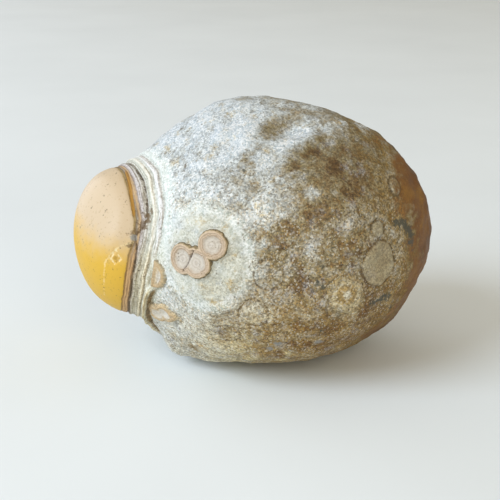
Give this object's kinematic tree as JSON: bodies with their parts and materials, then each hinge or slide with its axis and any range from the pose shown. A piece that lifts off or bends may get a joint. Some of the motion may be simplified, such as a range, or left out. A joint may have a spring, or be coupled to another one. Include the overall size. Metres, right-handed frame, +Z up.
{
  "type": "desert agate",
  "caption": "Natural agate nodule with a smooth ochre cap, a collar of thin ledges and a rounded, disc-marked body; rests on a small flat spot for display.",
  "frame": {"origin": "under the middle of the stone's bounding box, level with the flat spot it rests on", "axes": "+Z up; +X along the stone from its cap towards its blunt end, so the cap points along -X; -Y is the side with the cluster of three raised discs"},
  "size_m": [0.059, 0.0454, 0.0444],
  "materials": {
    "agate": "natural weathered skin, matte and finely grained, a little waxy on the cap"
  },
  "bodies": {
    "root": {"agate": "agate"}
  },
  "joints": []
}
